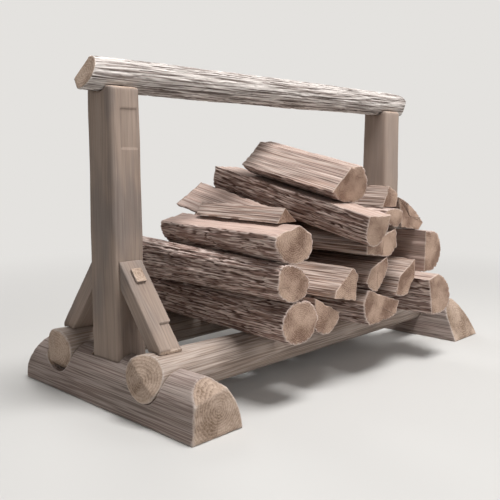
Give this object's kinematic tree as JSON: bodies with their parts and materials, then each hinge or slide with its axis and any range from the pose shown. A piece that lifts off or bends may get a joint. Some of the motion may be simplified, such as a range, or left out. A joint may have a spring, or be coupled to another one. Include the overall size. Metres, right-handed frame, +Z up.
{
  "type": "firewood log rack",
  "caption": "Free-standing rustic firewood rack: half-round feet, braced hewn posts, pole rails and a lift-off top pole, holding a stack of split and round logs.",
  "frame": {"origin": "on the floor, under the middle of the whole object", "axes": "+X along the rails to the right, seen from the front; +Y from front to back; +Z up"},
  "size_m": [1.181, 0.64, 0.723],
  "materials": {
    "timber": "hewn, weathered",
    "rail": "peeled pole, weathered",
    "peg": "whittled",
    "firewood": "split, with bark"
  },
  "bodies": {
    "rack": {"front_rail": "rail", "left_foot": "timber", "left_front_brace": "timber", "left_front_brace_peg": "peg", "left_front_rail_peg": "peg", "left_post": "timber", "left_rear_brace": "timber", "left_rear_brace_peg": "peg", "left_rear_rail_peg": "peg", "left_saddle_peg": "peg", "left_tenon_peg": "peg", "rear_rail": "rail", "right_foot": "timber", "right_front_brace": "timber", "right_front_brace_peg": "peg", "right_front_rail_peg": "peg", "right_post": "timber", "right_rear_brace": "timber", "right_rear_brace_peg": "peg", "right_rear_rail_peg": "peg", "right_saddle_peg": "peg", "right_tenon_peg": "peg"},
    "top_rail": {"top_rail": "rail"},
    "log_01_round": {"firewood_01_round": "firewood"},
    "log_02_split": {"firewood_02_split": "firewood"},
    "log_03_wedge": {"firewood_03_wedge": "firewood"},
    "log_04_split": {"firewood_04_split": "firewood"},
    "log_05_round": {"firewood_05_round": "firewood"},
    "log_06_split": {"firewood_06_split": "firewood"},
    "log_07_split": {"firewood_07_split": "firewood"},
    "log_08_split": {"firewood_08_split": "firewood"},
    "log_09_half": {"firewood_09_half": "firewood"},
    "log_10_wedge": {"firewood_10_wedge": "firewood"},
    "log_11_half": {"firewood_11_half": "firewood"},
    "log_12_kindling": {"firewood_12_kindling": "firewood"},
    "log_13_split": {"firewood_13_split": "firewood"},
    "log_14_round": {"firewood_14_round": "firewood"},
    "log_15_offcut": {"firewood_15_offcut": "firewood"},
    "log_16_half": {"firewood_16_half": "firewood"},
    "log_17_wedge": {"firewood_17_wedge": "firewood"},
    "log_18_wedge": {"firewood_18_wedge": "firewood"},
    "log_19_split": {"firewood_19_split": "firewood"},
    "log_20_half": {"firewood_20_half": "firewood"}
  },
  "joints": [
    {"name": "top_rail_lift", "type": "slide", "parent": "rack", "child": "top_rail", "axis": [0, 0, 1], "range_m": [0, 0.12]},
    {"name": "log_01_round_pull", "type": "slide", "parent": "rack", "child": "log_01_round", "axis": [-0.0698, -0.9976, 0], "range_m": [0, 0.5]},
    {"name": "log_02_split_pull", "type": "slide", "parent": "rack", "child": "log_02_split", "axis": [-0.0698, -0.9976, 0], "range_m": [0, 0.5]},
    {"name": "log_03_wedge_pull", "type": "slide", "parent": "rack", "child": "log_03_wedge", "axis": [0, -1, 0], "range_m": [0, 0.5]},
    {"name": "log_04_split_pull", "type": "slide", "parent": "rack", "child": "log_04_split", "axis": [0, -1, 0], "range_m": [0, 0.5]},
    {"name": "log_05_round_pull", "type": "slide", "parent": "rack", "child": "log_05_round", "axis": [0.0262, 0.9997, 0], "range_m": [0, 0.5]},
    {"name": "log_06_split_pull", "type": "slide", "parent": "rack", "child": "log_06_split", "axis": [0, -1, 0], "range_m": [0, 0.5]},
    {"name": "log_07_split_pull", "type": "slide", "parent": "rack", "child": "log_07_split", "axis": [0, -1, 0], "range_m": [0, 0.5]},
    {"name": "log_08_split_pull", "type": "slide", "parent": "rack", "child": "log_08_split", "axis": [0, -1, 0], "range_m": [0, 0.5]},
    {"name": "log_09_half_pull", "type": "slide", "parent": "rack", "child": "log_09_half", "axis": [0, -1, 0], "range_m": [0, 0.5]},
    {"name": "log_10_wedge_pull", "type": "slide", "parent": "rack", "child": "log_10_wedge", "axis": [0, 1, 0], "range_m": [0, 0.5]},
    {"name": "log_11_half_pull", "type": "slide", "parent": "rack", "child": "log_11_half", "axis": [-0.1392, -0.9903, 0], "range_m": [0, 0.5]},
    {"name": "log_12_kindling_pull", "type": "slide", "parent": "rack", "child": "log_12_kindling", "axis": [-0.1219, -0.9925, 0], "range_m": [0, 0.5]},
    {"name": "log_13_split_pull", "type": "slide", "parent": "rack", "child": "log_13_split", "axis": [0, 1, 0], "range_m": [0, 0.5]},
    {"name": "log_14_round_pull", "type": "slide", "parent": "rack", "child": "log_14_round", "axis": [0, -1, 0], "range_m": [0, 0.5]},
    {"name": "log_15_offcut_pull", "type": "slide", "parent": "rack", "child": "log_15_offcut", "axis": [0, 1, 0], "range_m": [0, 0.5]},
    {"name": "log_16_half_pull", "type": "slide", "parent": "rack", "child": "log_16_half", "axis": [0, 0.977, 0.2134], "range_m": [0, 0.5]},
    {"name": "log_17_wedge_pull", "type": "slide", "parent": "rack", "child": "log_17_wedge", "axis": [0, -1, 0], "range_m": [0, 0.5]},
    {"name": "log_18_wedge_pull", "type": "slide", "parent": "rack", "child": "log_18_wedge", "axis": [0, -1, 0], "range_m": [0, 0.5]},
    {"name": "log_19_split_pull", "type": "slide", "parent": "rack", "child": "log_19_split", "axis": [0, -1, 0], "range_m": [0, 0.5]},
    {"name": "log_20_half_pull", "type": "slide", "parent": "rack", "child": "log_20_half", "axis": [0, -1, 0], "range_m": [0, 0.5]}
  ]
}
